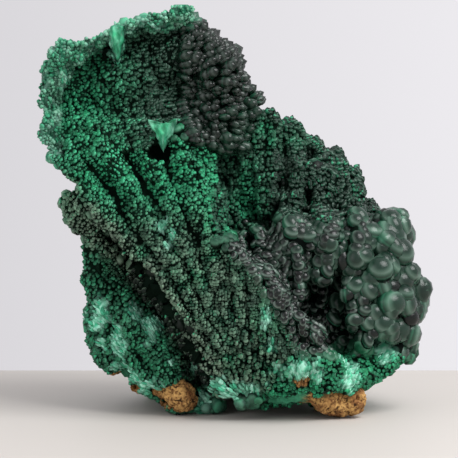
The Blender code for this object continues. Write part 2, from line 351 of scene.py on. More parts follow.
def evenSkin(nodeName, voxel, rounds):
    # a CAD solid's skin as even quads of the voxel's size, with its flat facets melted away
    shape = bmesh.new()
    shape.from_mesh(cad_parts[nodeName].data)
    bmesh.ops.remove_doubles(shape, verts=shape.verts, dist=1e-6)
    mesh = bpy.data.meshes.new("evenSkin")
    shape.to_mesh(mesh)
    shape.free()
    thing = inScene("evenSkin", mesh)
    remesh = thing.modifiers.new("even", "REMESH")
    remesh.mode = "VOXEL"
    remesh.voxel_size = voxel * mm
    even = bpy.data.meshes.new_from_object(thing.evaluated_get(bpy.context.evaluated_depsgraph_get()))
    places, faces = quadArrays(even)
    bpy.data.objects.remove(thing)
    for old in (mesh, even):
        bpy.data.meshes.remove(old)
    return relaxed(places, faces, rounds), faces


def fanned(points, foot, radius):
    # The growth fans out from a foot: across is the angle round it times a radius, depth stays, and
    # along is the distance from it.
    x, z = points[:, 0] - foot[0], points[:, 2] - foot[1]
    return np.stack([np.arctan2(x, z + 1e-6) * radius, points[:, 1], np.hypot(x, z)], axis=1)


# The regions of the growth. Each has its outline on the middle plane, or a line and a reach, the foot
# that it fans out from, and the radius at which angles round the foot are turned to lengths.
# columns  pitch and height of the columns, which run away from the foot
# bunches  length of the bunches that part the columns, and how deeply they do, from 0 to 1
# clumps   pitch and height of the swellings on them
# knobs    pitch of the single knobs, spacing along the growth as a share of it, and length in radii
# out      how far the knobs' middles stand out, in radii, and lean is their slant along the growth
# slim     how wide the knobs are, and grows the first and last angle round the foot with the pitch at each
# lit      how strong the painted highlight on the upper edges of the bunches is
# crack    how much of the painted shade in the skin's cracks darkens the knobs, and shadeFloor the least painted shade that they take
# ruffle   how far the rim is ruffled, and over what length
regions = {
    "innerFace": {
        "outline": [(-90, 159), (-62, 163), (-37, 170), (-25, 170), (-24, 128), (-37, 115), (-56, 115),
                    (-78, 104), (-90, 128)],
        "foot": (9.5, 4.0), "radius": 140, "columns": (7, 2.6), "bunches": (7, 0.4), "clumps": (4.2, 1.6),
        "knobs": (1.55, 1.0, 1.35), "out": -0.3, "lean": 0.8,
    },
    "darkCluster": {
        "outline": [(-28, 170), (-16, 183), (5, 183), (5, 155), (8, 139), (1, 115), (-9, 115), (-22, 119),
                    (-25, 132)],
        "foot": (-60, 135), "radius": 100, "columns": (9, 1.0), "bunches": (9, 0.3), "clumps": (6, 2.0),
        # the dark tips lie under the rim's overhang and take at least this much painted shade
        "knobs": (3.7, 1.0, 2.0), "out": 0.7, "lean": 1.2, "slim": 0.82, "lit": 0.1, "shadeFloor": 0.7,
        "finish": "satinMalachite",
    },
    "sheet": {
        "outline": [(-82, 106), (-56, 115), (-37, 115), (-22, 119), (-10, 117), (-10, 75), (4, 62),
                    (24, 36), (28, 26), (12, 6), (-7, 0), (-39, 47), (-64, 73), (-78, 70), (-88, 84),
                    (-86, 98)],
        "foot": (9.5, 4.0), "radius": 80, "columns": (9.5, 6.8), "bunches": (9, 0.5),
        "clumps": (5.4, 2.7), "knobs": (1.4, 1.0, 1.4), "out": -0.3, "lean": 0.8,
    },
    "bowl": {
        "outline": [(-10, 128), (4, 139), (15, 126), (18, 86), (4, 77), (-10, 75)],
        "foot": (20, -20), "radius": 120, "columns": (6, 4.2), "bunches": (6, 0.4), "clumps": (3.8, 1.0),
        "knobs": (1.6, 1.0, 1.3), "out": -0.25, "lean": 0.8,
    },
    "slope": {
        "outline": [(4, 141), (30, 138), (67, 88), (44, 82), (18, 86), (15, 126)],
        "foot": (32, -60), "radius": 165, "columns": (9.5, 5.8), "bunches": (9, 0.35),
        "clumps": (5.0, 1.0), "knobs": (2.0, 0.9, 1.2), "out": -0.15, "lean": 0.6,
    },
    "lobes": {
        "outline": [(3, 79), (18, 85), (44, 91), (61, 91), (76, 96), (93, 57), (85, 24), (48, 24),
                    (19, 22), (12, 36), (-5, 70)],
        "foot": (33, 4), "radius": 70, "columns": (13.0, 6.5), "bunches": (30, 0.2), "clumps": (9, 0.8),
        "knobs": (2.7, 0.72, 1.0), "out": -0.5, "lean": 0.4, "slim": 1.06, "grows": (-25, 3.1, 60, 9.5),
        "lit": 0.4, "crack": 0.25, "finish": "satinMalachite",
    },
    "lowerLeft": {
        "outline": [(-64, 81), (-37, 49), (-9, 4), (-31, -6), (-72, 6), (-76, 53)],
        "foot": (-2, -10), "radius": 60, "columns": (10, 4.0), "bunches": (8, 0.45), "clumps": (4.6, 1.8),
        "knobs": (1.55, 1.0, 1.3), "out": -0.25, "lean": 0.8,
    },
    "base": {
        "outline": [(12, 6), (28, 26), (48, 28), (72, 26), (81, 11), (41, -8), (-3, -6)],
        "foot": (25, -20), "radius": 40, "columns": (7, 2.0), "bunches": (6, 0.4), "clumps": (4.0, 1.6),
        "knobs": (1.5, 1.0, 1.4), "out": -0.1, "lean": 0.8,
    },
    "rim": {
        "line": [(-87, 118), (-87, 130), (-86, 140), (-83, 151), (-76, 160), (-63, 169), (-47, 174),
                 (-31, 177), (-16, 179)],
        "reach": 9.5, "foot": (9.5, 4.0), "radius": 150, "columns": (11, 4.5), "bunches": (7, 0.5),
        "clumps": (4.4, 4.0), "knobs": (1.3, 1.0, 1.2), "out": 0.2, "lean": 0.3, "ruffle": (4.5, 7.0),
    },
    "rest": {
        "foot": (9.5, 4.0), "radius": 90, "columns": (11, 4.0), "bunches": (10, 0.4),
        "clumps": (5.5, 1.6), "knobs": (3.6, 0.95, 1.1), "out": 0.0, "lean": 0.4,
    },
}

skin = {
    "voxel": 1.25,        # the even quads
    "melt": 9,            # rounds of smoothing that take the flat facets out of the solid
    "sink": 0.72,         # how much of a swelling's height lies under the solid's own skin
    "warp": 3.2,          # how far the columns wander
    "ragged": 4.5,        # how far the regions' borders wander
    "wander": 16.0,       # the length over which both do
    "frontDepth": 36.0,   # how far back the front's regions reach
}

# Places on the middle plane where the front is pushed before it grows: place, reach across and up,
# depth of skin that takes part, and the push.
pushes = [
    ((-34, 114), (6.0, 4.0), 9.0, (0, 10, 0)), ((-57, 157), (3.0, 3.4), 6.0, (0, 6, 0)),
    ((6, 78), (3.6, 4.2), 9.0, (0, 9, 0)), ((-45, 9), (2.6, 2.4), 5.0, (0, 5, 0)),
    ((38, 46), (16.0, 17.0), 30.0, (0, -6, 0)), ((2, 176), (24.0, 20.0), 60.0, (-13, 0, -7)),
    ((-22, 180), (7.0, 6.0), 60.0, (0, 0, 3)), ((-40, 178), (10.0, 7.0), 60.0, (0, 0, -4)),
]
# the first pushes sink holes, which are painted black as shade
holes = 4   # so many of them are black holes
# the thin place at the sheet's left border, thickened to stay closed
mend = {"place": (-65, 88), "reach": 9.0, "swell": 4.2}

# Grooves: one inside the rim, one under the sheet's free border, and the rim itself, which stands
# forward. shade is how far to each side of a groove the skin is darkened as painted shade, and how dark.
grooves = [
    {"line": [(-79, 118), (-77, 134), (-70, 146), (-60, 155), (-46, 161), (-30, 166), (-16, 169)],
     "reach": 4.5, "depth": 6.0, "shade": (2.5, 0.5)},
    {"line": [(-44, 57), (-36, 46), (-27, 34), (-20, 21), (-15, 8)],
     "reach": 5.0, "depth": 7.0, "shade": (4.0, 0.75)},
    {"line": regions["rim"]["line"], "reach": 6.0, "depth": -3.0, "shade": (1.0, 0.0)},
]


def sculpted(places, plane):
    # Each push falls off as (1 - squared share of its reach) to the power of 1.5, and the grooves sink
    # the skin that shows straight back.
    start = places.copy()
    for place, (across, up), thick, push in pushes:
        near = ((plane[:, 0] - place[0]) / across) ** 2 + ((plane[:, 1] - place[1]) / up) ** 2
        front = start[sighted(start, plane, place), 1]
        share = np.maximum(1.0 - near, 0.0) ** 1.5 * (start[:, 1] < front + thick)
        places = places + share[:, None] * push
    shallow = start[:, 1] < nearestDepth(start, plane) + 7.0
    for groove in grooves:
        close = nearLine(plane, groove["line"], groove["reach"], 0.9)
        places = places + (groove["depth"] * close * shallow)[:, None] * (0.0, 1.0, 0.0)
    return places


def regionShares(points, plane, wander):
    # how much of each region there is at every point: 1 inside its outline and ahead of the depth where
    # the front ends, both of them wandering, then divided so that the shares add up to 1
    ragged = plane + skin["ragged"] * wander[:, [0, 2]]
    ahead = 1.0 - smoothStep(-4.0, 4.0, points[:, 1] - skin["frontDepth"] + 6.0 * wander[:, 1])
    shares = {name: ahead * insideOutline(ragged, region["outline"], 1.0)
              for name, region in regions.items() if "outline" in region}
    shares["rim"] = 4.0 * ahead * nearLine(ragged, regions["rim"]["line"], regions["rim"]["reach"], 0.15)
    total = sum(shares.values())
    shares["rest"] = np.maximum(0.0, 1.0 - total)
    total = np.maximum(total, 1.0)
    return {name: share / total for name, share in shares.items()}


def columnRidges(across, along, pitch, bunch, share, seed):
    # Columns side by side, each a flattened parabola across, parted along its length into bunches that
    # rise as a square root and drop off steeply, like scales. Each column has its own phase and height.
    # Gives the rise from 0 to 1, how deep a point lies in a crack, and lip, 1 on a bunch's upper edge.
    turn = across / pitch
    column = np.floor(turn)
    own = diceAt(np.stack([column, column * 0 + 5, column * 0 + 9], axis=1).astype(np.int64), seed, 3)
    ridge = (1.0 - (2.0 * (turn - column) - 1.0) ** 2) ** 0.75
    step = along / (bunch * (0.75 + 0.5 * own[:, 0])) + 7.0 * own[:, 1] + 0.35 * (1.0 - ridge)
    scale = step - np.floor(step)
    lip = smoothStep(0.6, 0.8, scale) * (1.0 - smoothStep(0.9, 1.0, scale)) * smoothStep(0.3, 0.6, ridge)
    scale = np.sqrt(scale) * np.clip(6.0 * (1.0 - scale), 0.0, 1.0)
    crack = np.maximum(1.0 - smoothStep(0.15, 0.6, ridge), 0.7 * (1.0 - smoothStep(0.0, 0.35, scale)))
    return ridge * (1.0 - share + share * scale) * (0.7 + 0.3 * own[:, 2]), crack, lip


# Lines on the middle plane along which the knobs' upper left edges take a painted highlight: the ridge
# of the sheet, the tops of the lobes, the big balls and some bunches.
highlightLines = {
    "reach": 1.3, "strength": 0.8,
    "lines": [
        [(-10, 114), (-10, 96), (-9, 77), (4, 61), (13, 49), (27, 27)],
        [(3, 66), (6, 73), (10, 78), (18, 74)], [(18, 75), (21, 81), (25, 85), (33, 81)],
        [(33, 80), (36, 84), (41, 85), (44, 82)], [(44, 81), (48, 84), (54, 83), (60, 73)],
        [(53, 72), (55, 66), (54, 59), (50, 52)], [(61, 88), (66, 91), (72, 88), (75, 82)],
        [(62, 74), (66, 78), (72, 77)], [(66, 60), (69, 56), (63, 45)],
        [(-32, 60), (-26, 70), (-28, 78)], [(-40, 82), (-34, 93), (-35, 99)],
        [(-57, 84), (-50, 93), (-49, 99)], [(-24, 55), (-17, 66), (-18, 72)],
        [(5, 137), (18, 130), (28, 127), (39, 114), (48, 106), (56, 92)],
    ],
}


def relief(points, plane, shares, wander):
    # How far every point moves outward: the heights of its region's columns and clumps, less what sinks
    # in, added up. The values say how they look there: crest on the crowns, tone for each clump, painted
    # shade in the cracks, the holes and along the grooves, and painted highlight on the lips and edge lines.
    lift = np.zeros(len(points))
    values = {name: np.zeros(len(points)) for name in ("crest", "tone", "cleft", "bright")}
    for seed, (name, region) in enumerate(regions.items()):
        here = np.flatnonzero(shares[name] > 0.02)
        part = shares[name][here]
        local = fanned(points[here] + skin["warp"] * wander[here], region["foot"], region["radius"])
        pitch, height = region["columns"]
        rise, crack, lip = columnRidges(local[:, 0], local[:, 2], pitch, *region["bunches"], 700 + seed)
        lift[here] += part * (rise - skin["sink"]) * height
        pitch, height = region["clumps"]
        swell, crown, gap, tone = knobCrowd(local / (1.0, 1.0, 1.3), pitch, 100 + seed)
        lift[here] += part * (swell - skin["sink"]) * height
        crack = np.maximum(crack, 0.8 * (1.0 - smoothStep(0.3 / pitch, 1.3 / pitch, gap)))
        # painted shade in the columns' and clumps' cracks
        values["cleft"][here] += part * crack
        values["crest"][here] += part * crown
        # painted highlight on the bunches' upper lips
        values["bright"][here] += part * lip * smoothStep(0.2, 0.6, tone) * region.get("lit", 1.0)
        values["tone"][here] += part * tone
    height, size = regions["rim"]["ruffle"]
    lift += height * shares["rim"] * roughNoise(points, size, 64, 2)
    lift += mend["swell"] * nearLine(plane, [mend["place"], mend["place"]], mend["reach"], 0.6)
    # painted shade: the holes and the skin along the grooves are darkened, on the front only
    front = points[:, 1] < nearestDepth(points, plane) + 14.0
    for place, reach, _, _ in pushes[:holes]:
        near = np.linalg.norm((plane - place) / reach, axis=1)
        values["cleft"] = np.maximum(values["cleft"], front * (1.0 - smoothStep(0.5, 0.95, near)))
    for groove in grooves:
        reach, dark = groove["shade"]
        close = nearLine(plane, groove["line"], reach, 0.6)
        values["cleft"] = np.maximum(values["cleft"], dark * front * close)
    # painted highlight along the edge lines, on the front's regions only
    here = np.zeros(len(points))
    for line in highlightLines["lines"]:
        close = nearLine(plane, line, highlightLines["reach"], 0.5, 0.3 * wander[:, 0])
        here = np.maximum(here, highlightLines["strength"] * close)
    values["bright"] = np.maximum(values["bright"], here * (1.0 - shares["rest"]))
    return lift, values


# The colours' areas: the place of each on the middle plane and its reach across and up. mint is bruised
# or freshly broken fibre, emerald is bright green, silky is bright fibre, and brown is limonite stain.
# The pale areas are the rim's greyer crust and painted sheen along the sheet's free border and crests.
mintSpots = [
    ((-62, 41), (5.5, 8)), ((-53, 29), (3.5, 7)), ((-60, 28), (4, 3.5)), ((-43, 44), (3.5, 6)),
    ((-36, 38), (4, 9)), ((-28, 22), (2.5, 2)), ((-49, 15), (9, 4)), ((-19, 19), (3, 3)),
    ((-40, 8), (7, 4)), ((-15, 4), (6, 5)), ((1, 8), (11, 4)), ((15, 28), (2.5, 4)), ((28, 16), (10, 5)),
    ((51, 19), (6, 8)), ((67, 25), (4, 5)), ((-33, 83), (1.8, 2)), ((-30, 78), (1.4, 2.6)),
    ((-31, 73), (1.2, 1.6)), ((-52, 161), (3, 8)), ((13, 41), (2, 4)), ((-74, 146), (4, 5)),
]
emeraldSpots = [
    ((-68, 130), (12, 20)), ((-52, 111), (10, 9)), ((4, 93), (5, 12)), ((13, 41), (5, 9)),
    ((69, 27), (6, 6)), ((-39, 102), (8, 12)), ((-11, 96), (2.5, 20)), ((-1, 79), (3, 3)),
    ((-31, 124), (6, 4)), ((24, 120), (16, 6)),
]
silkySpots = [((-53, 113), (7, 9)), ((13, 41), (3, 7)), ((-38, 106), (4, 6)), ((69, 27), (5, 5))]
brownSpots = [
    ((-27, 6), (6, 5)), ((-53, 13), (3, 3)), ((-45, 9), (4, 3)), ((29, 12), (4, 3)),
    ((31, 5), (3, 2)), ((48, 3), (10, 6)),
]
# along this line the sheet's free border is painted with sheen
sheenLine = {"line": [(-76, 97), (-66, 82), (-56, 75), (-45, 63), (-33, 49), (-22, 33), (-14, 19), (-6, 8)],
            "reach": 6.0}

# how strongly whole regions take a tint, from 0 to 1; the sheet's border and crest tints are painted sheen
tints = {
    "rimMint": 0.44, "rimEmerald": 0.95, "rimPale": 0.65,
    "baseEmerald": 0.85, "lowerLeftEmerald": 0.4,
    "sheetEmerald": 0.85, "sheetMottle": 0.6, "sheetPale": 0.5, "borderSheen": 0.75,
    "slopeDark": 0.7, "innerFaceDark": 0.75,
    "lobesSpared": 0.7,   # how much of the mint the lobes are spared
}


def spots(points, plane, places, soft, ragged):
    # the strongest of several ragged patches, each round the point that shows at its place
    total = np.zeros(len(points))
    for place, (across, up) in places:
        centre = points[sighted(points, plane, place)]
        reach = np.array([across, max(across, up), up])
        far = np.linalg.norm((points - centre) / reach, axis=1)
        total = np.maximum(total, 1.0 - smoothStep(1.0 - soft, 1.0 + soft, far + ragged))
    return total


def colouring(points, plane, shares, knobs, wander):
    # The numbers that the malachite's finishes read for their areas of colour: the strongest of the
    # spots and of the regions' own tints, which fade along or across the region.
    fine = 0.9 * roughNoise(points, 3.5, 61, 2)
    ahead = 1.0 - shares["rest"]
    mottle = smoothStep(-0.2, 0.7, roughNoise(points, 9.0, 62, 2))
    mint = spots(points, plane, mintSpots, 0.3, fine) * (1.0 - tints["lobesSpared"] * shares["lobes"])
    mint = np.maximum(mint, tints["rimMint"] * shares["rim"] * smoothStep(-0.7, 0.1, fine))
    emerald = np.maximum.reduce([
        0.8 * spots(points, plane, emeraldSpots, 0.5, fine),
        spots(points, plane, silkySpots, 0.3, fine),
        tints["rimEmerald"] * shares["rim"],
        tints["baseEmerald"] * shares["base"] + tints["lowerLeftEmerald"] * shares["lowerLeft"],
        tints["sheetEmerald"] * shares["sheet"] * smoothStep(72.0, 100.0, plane[:, 1]),
        shares["innerFace"] * (0.85 - 0.65 * smoothStep(-72.0, -38.0, plane[:, 0])),
        tints["sheetMottle"] * shares["sheet"] * mottle,
    ])
    brown = spots(points, plane, brownSpots, 0.3, fine)
    # painted sheen along the sheet's free border and on the lower sheet's crests, and the rim's own greyer
    # crust
    sheenBorder = ahead * nearLine(plane + 2.0 * wander[:, [0, 2]], sheenLine["line"], sheenLine["reach"], 0.6, fine)
    sheenCrests = shares["sheet"] * knobs["crest"] * smoothStep(100.0, 60.0, plane[:, 1])
    pale = np.maximum.reduce([
        tints["borderSheen"] * sheenBorder, tints["sheetPale"] * sheenCrests,
        tints["rimPale"] * shares["rim"] * smoothStep(-0.2, 0.3, fine),
    ])
    dark = shares["darkCluster"] + shares["lobes"] + tints["slopeDark"] * shares["slope"]
    right = smoothStep(-58.0, -30.0, plane[:, 0] + 5.0 * wander[:, 0])
    dark = dark + tints["innerFaceDark"] * shares["innerFace"] * right
    sheet = regions["sheet"]
    streak = 0.5 + 0.5 * softNoise(fanned(points, sheet["foot"], 90.0) / (0.5, 0.5, 5.0), 1.0, 63)
    return {"mint": mint, "emerald": np.clip(emerald, 0, 1), "brown": brown, "streak": streak,
            "pale": np.clip(pale, 0, 1), "dark": np.clip(dark, 0, 1)}


# what the knobs of all regions share
knobFacts = {
    "radius": (0.52, 0.34),    # shares of the pitch: the smallest knob, and what a high rank adds
    "ruffle": (0.3, 6.0),      # how much the radius wanders, and over what length
    "shake": 0.5,              # how far directions are shaken
    "nudge": 0.7,              # how far middles are moved about
    "bareFrom": 0.82,          # deeper cracks carry no knobs under 4 mm
    "brokenFrom": 0.45,        # where mint is stronger the knobs are broken fibres
    "fibre": (0.75, 0.8, 2.3),   # a fibre's share of the knob's radius, greatest radius and length
    "hiddenPitch": 5.6,        # pitch of the knobs that the front view doesn't show
    "hiddenSlim": 0.8,         # and how wide they are
    "rounder": (1.4, 2.2),     # mean radii from which a region's balls have more faces
    # the painted highlight on edges fades on big knobs
    "bright": (1.5, 3.0, 0.85),  # radii between which bright edges fade, and by how much
    "dark": (2.5, 5.0, 0.35),  # and the same for the dark
}


def seededKnobs(local, region, seed, inView):
    # The pitch at every point, and the seeds' numbers and ranks. Where a region grows, its pitch rises
    # evenly with the angle round the foot, and the cells are counted in pitches to keep step with it.
    pitch, spacing, _ = region["knobs"]
    if "grows" in region and inView:
        first, small, last, large = region["grows"]
        rate = (large - small) / (math.radians(last - first) * region["radius"])
        angle = np.degrees(local[:, 0] / region["radius"])
        size = np.clip(small + (large - small) * (angle - first) / (last - first), small, large)
        cells = np.stack([np.log(size) / rate, local[:, 1] / size, local[:, 2] / size / spacing], axis=1)
        size = size * np.clip(local[:, 2] / region["radius"] + 0.1, 0.6, 1.0)
        seeds, rank, *_ = seedCrowd(cells, 1.0, seed, 0.5, np.array([0.3, 0.3, 0.6]))
        return size, seeds, rank
    size = np.full(len(local), pitch if inView else max(pitch, knobFacts["hiddenPitch"]))
    seeds, rank, *_ = seedCrowd(local / (1.0, 1.0, spacing), size[0], seed, 0.5, 0.6)
    return size, seeds, rank


def shapedKnobs(points, normals, values, region, point, pitch, rank, slim):
    # A knob points outward and slants along the growth, shaken a little. Its radius is a share of the
    # pitch that rises with its rank. A broken one lies along the growth as a thin fibre.
    along = points[point][:, [0, 2]] - region["foot"]
    along = unitLong(np.stack([along[:, 0], np.zeros(len(point)), along[:, 1]], axis=1))
    dice = diceAt(np.round(points[point] * 10).astype(np.int64), 77, 5)
    shaken = knobFacts["shake"] * (dice[:, :3] - 0.5)
    axis = unitLong(normals[point] + region["lean"] * along + shaken)
    least, more = knobFacts["radius"]
    radius = pitch * (least + more * rank) * slim
    share, size = knobFacts["ruffle"]
    radius = radius * (1.0 + share * roughNoise(points[point], size, 71, 2))
    broken = np.maximum(values["mint"], values["emerald"] - 0.5)[point] > knobFacts["brokenFrom"]
    flat = unitLong(along + 0.25 * normals[point] + shaken)
    axis = np.where(broken[:, None], flat, axis)
    thin, widest, fibreLength = knobFacts["fibre"]
    radius = np.where(broken, np.minimum(thin * radius, widest), radius)
    length = np.where(broken, fibreLength, region["knobs"][2])
    nudge = knobFacts["nudge"] * (dice[:, 2:] - 0.5)
    middle = points[point] + (region["out"] * radius)[:, None] * axis + nudge
    return point, middle, axis, radius, length, 0.7 + 0.5 * dice[:, 3:], rank


def knobSeeds(points, normals, plane, shares, values, wander):
    # Where single knobs stand, for each region and for what the front view shows and hides of it: their
    # skin points, middles, directions, radii, lengths, squashes and ranks. Deep cracks stay bare.
    strongest = np.argmax(np.stack([shares[name] for name in regions]), axis=0)
    facing = np.einsum("ij,ij->i", normals, eye - points) / cameraFacts["distance"] > -0.6
    behind = points[:, 1] - nearestDepth(points, plane)
    shown = (facing & (behind < 22.0)) | (behind < 6.0)
    crops = {}
    for number, (name, region) in enumerate(regions.items()):
        for view, inView in (("", True), ("Hidden", False)):
            here = np.flatnonzero((strongest == number) & (shown == inView))
            if not len(here):
                continue
            local = fanned(points[here] + 0.5 * skin["warp"] * wander[here], region["foot"], region["radius"])
            size, seeds, rank = seededKnobs(local, region, 300 + number, inView)
            bare = (values["cleft"][here[seeds]] > knobFacts["bareFrom"]) & (size[seeds] < 4.0)
            seeds, rank = seeds[~bare], rank[~bare]
            slim = region.get("slim", 1.0) if inView else knobFacts["hiddenSlim"]
            crops[name + view] = shapedKnobs(points, normals, values, region, here[seeds], size[seeds],
                                             rank, slim)
    return crops


def addNode(tree, kind, facts, result=0):
    # One shader node. Each fact goes to the attribute or the socket of its name or number: another
    # node's output is linked, a hex code is turned to a colour, and stops are laid along a colour ramp.
    # Gives the node's output of the result's name or number, where it has one.
    node = tree.nodes.new("ShaderNode" + kind)
    for key, value in facts.items():
        if key == "stops":
            for number, (place, hexCode) in enumerate(value):
                if number >= len(node.color_ramp.elements):
                    node.color_ramp.elements.new(1.0)
                node.color_ramp.elements[number].position = place
                node.color_ramp.elements[number].color = linearColour(hexCode)
        elif isinstance(key, str) and hasattr(node, key) and key not in node.inputs:
            setattr(node, key, value)
        elif isinstance(value, bpy.types.NodeSocket):
            tree.links.new(value, node.inputs[key])
        else:
            node.inputs[key].default_value = linearColour(value) if isinstance(value, str) else value
    return node.outputs[result] if len(node.outputs) else None


def newFinish(name):
    # an empty material and its node tree
    material = bpy.data.materials.new(name)
    material.use_nodes = True
    material.node_tree.nodes.clear()
    return material, material.node_tree


def addPatterns(tree, made, facts):
    # Adds to the made sockets a mineral's patterns, each a noise of a size in mm, with its detail and
    # roughness, and its shares, each rising from 0 to 1 between two values of a number.
    place = addNode(tree, "TexCoord", {}, "Object")
    for name, (size, detail, rough) in facts["patterns"].items():
        made[name] = addNode(tree, "TexNoise", {"Vector": place, "Scale": 1.0 / (size * mm),
                                                "Detail": detail, "Roughness": rough})
    for name, (source, start, end) in facts["shares"].items():
        made[name] = addNode(tree, "MapRange", {"Value": made[source], "From Min": start, "From Max": end})


def layFinish(tree, made, facts, surface):
    # Lays a mineral's colours over one another, each the first of two mixed or multiplied with a share
    # of the second, bumps the surface by a strength, a height in mm and a pattern, and ends the tree.
    for name, share, first, second, *blend in facts["layers"]:
        blend = blend[0] if blend else "MIX"
        made[name] = addNode(tree, "Mix", {"data_type": "RGBA", "blend_type": blend, 0: made[share],
                                           6: made.get(first, first), 7: made.get(second, second)}, 2)
    strength, rise, pattern = facts["bump"]
    bump = addNode(tree, "Bump", {"Strength": strength, "Distance": rise * mm, "Height": made[pattern]})
    surface = addNode(tree, "BsdfPrincipled", {"Base Color": made["body"], "Normal": bump, **surface})
    addNode(tree, "OutputMaterial", {"Surface": surface})


# The finishes of malachite differ only in how rough they are and how strong their gloss is, which is
# weaker than a cut stone's, because the needles scatter the light.
malachiteFinishes = {
    "velvetMalachite": {"Roughness": 0.4, "Specular IOR Level": 0.16},
    "satinMalachite": {"Roughness": 0.22, "Specular IOR Level": 0.33},   # the dark tips and the lobes
    "groundMalachite": {"Roughness": 0.8, "Specular IOR Level": 0.04},   # what shows between the knobs
}
velvet = {
    # the needles and their grit, and the patches in which the flanks' hue changes
    "patterns": {"grit": (0.5, 2.0, 0.5), "cloud": (9.09, 4.0, 0.5)},
    "bump": (0.4, 0.2, "grit"),
    # the side of a knob that takes the painted highlight, up and to the left, toward the light
    "light": (-0.6, -0.2, 0.75),   # the side of a knob that is bright, up and to the left
    "shares": {
        "onFlank": ("cap", 0.1, 0.5), "onCrown": ("cap", 0.65, 0.9), "low": ("cap", 0.75, 0.55),
        "towardLight": ("side", 0.2, 0.5), "hue": ("cloud", 0.38, 0.62), "grain": ("grit", 0.35, 0.65),
        "strand": ("streak", 0.3, 0.7), "rusty": ("brown", 0.3, 0.8),
    },
    # painted sheen rings of the dark knobs, from the waist to the crown: black painted shade at the waist, a
    # thin green painted highlight, a grey painted sheen on the flank and a nearly black crown
    "night": [(0.0, "#030806"), (0.2, "#2a6049"), (0.32, "#0a120f"), (0.45, "#2b3d34"),
              (0.62, "#66756d"), (0.72, "#4a5850"), (0.85, "#0b110f")],
    # a knob's foot, flank and crown in three sorts, the foot darkened as painted shade and the flank lighter
    # than the crown as painted sheen, and then the body with all that lies over it, painted highlight and
    # painted shade among it
    "layers": [
        ("flank", "hue", "#35795a", "#4c7862"),
        ("plain", "onFlank", "#0a1b13", "flank"), ("plain", "onCrown", "plain", "#2a5240"),
        ("flank", "hue", "#30a674", "#4cbd8e"),
        ("silky", "onFlank", "#082c1c", "flank"), ("silky", "onCrown", "silky", "#228a5b"),
        ("dusty", "onFlank", "#101c15", "#8fa38e"), ("dusty", "onCrown", "dusty", "#6f8b73"),
        ("body", "emerald", "plain", "silky"), ("body", "dark", "body", "night"),
        ("body", "pale", "body", "dusty"),
        # the painted highlight's colour, laid where lit says
        ("edge", "dark", "#46bf89", "#5ec498"), ("body", "lit", "body", "edge"),
        # painted shade in the cracks, the holes and along the grooves
        ("body", "cleft", "body", "#08170f"),
        ("fibre", "strand", "#52c096", "#aef0d6"), ("body", "mint", "body", "fibre"),
        ("rust", "grain", "#6b4426", "#bb8c54"), ("body", "rusty", "body", "rust"),
        ("shade", "tone", "#b4b4b4", "#ffffff"), ("body", "whole", "body", "shade", "MULTIPLY"),
    ],
}


def velvetMalachite(name):
    # Velvet malachite, grown as sprays of needles that end in knobs: nearly black green where a
    # knob's crown faces out and a greyer green on its flanks, both painted by the knob's cap as sheen, and
    # silky bright green where it is broken. cap is 1 on a knob's crown and 0 at its waist, and lit makes
    # thin bright crescents round its foot on the side toward the light, a painted highlight.
    material, tree = newFinish(name)
    made = {label: addNode(tree, "Attribute", {"attribute_name": label}, "Fac")
            for label in ("tone", "cleft", "bright", "mint", "emerald", "brown", "streak", "pale", "dark")}
    way, axis = (addNode(tree, "Attribute", {"attribute_name": label}, "Vector") for label in ("way", "axis"))
    way = addNode(tree, "VectorMath", {"operation": "NORMALIZE", 0: way}, "Vector")
    for label, other in (("cap", axis), ("side", velvet["light"])):
        made[label] = addNode(tree, "VectorMath", {"operation": "DOT_PRODUCT", 0: way, 1: other}, "Value")
    addPatterns(tree, made, velvet)
    # painted highlight: where a knob faces the light, low on it, as strongly as the skin gives
    lit = addNode(tree, "Math", {"operation": "MULTIPLY", 0: made["towardLight"], 1: made["bright"]})
    made["lit"] = addNode(tree, "Math", {"operation": "MULTIPLY", 0: lit, 1: made["low"]})
    made["night"] = addNode(tree, "ValToRGB", {"Fac": made["cap"], "stops": velvet["night"]})
    made["whole"] = 1.0
    layFinish(tree, made, velvet, {"IOR": 1.5, **malachiteFinishes[name]})
    return material


earthy = {
    # pits, and patches in which the earth's hue changes
    "patterns": {"pits": (1.43, 5.0, 0.7), "cloud": (6.25, 3.0, 0.5)},
    "bump": (0.6, 0.4, "pits"),
    # the third share is 0 at the crumbs' feet, where the earth is darkened as painted shade
    "shares": {"hue": ("cloud", 0.42, 0.58), "level": ("pits", 0.38, 0.55), "outside": ("cap", 0.0, 0.3)},
    "layers": [
        ("body", "hue", "#8c6238", "#c79c5e"), ("body", "level", "#5a3318", "body"),
        ("body", "outside", "#2c170b", "body"), ("body", "green", "body", "#3f8f6c"),
    ],
}


def earthyLimonite():
    # Limonite, an earthy iron oxide: matt, powdery, ochre to dark brown, with pits of a millimetre, and
    # painted shade at the feet of its crumbs.
    material, tree = newFinish("earthyLimonite")
    made = {label: addNode(tree, "Attribute", {"attribute_name": label}, "Fac") for label in ("cap", "green")}
    addPatterns(tree, made, earthy)
    layFinish(tree, made, earthy, {"Roughness": 0.95, "Specular IOR Level": 0.3})
    return material


malachite = {name: velvetMalachite(name) for name in malachiteFinishes}
limonite = earthyLimonite()
print("finishes made")

low, high = (np.array(corner) / mm for corner in cadBox)
places, faces = evenSkin("malachite", skin["voxel"], skin["melt"])
places = sculpted(places, onMiddlePlane(places))
print("even skin of", len(faces), "quads")
plane = onMiddlePlane(places)
wander = np.stack([roughNoise(places, skin["wander"], seed, 3) for seed in (21, 22, 23)], axis=1)
shares = regionShares(places, plane, wander)
lift, values = relief(places, plane, shares, wander)
values.update(colouring(places, plane, shares, values, wander))
smooth = outward(places, faces)
places = np.clip(places + smooth * lift[:, None], low, high)
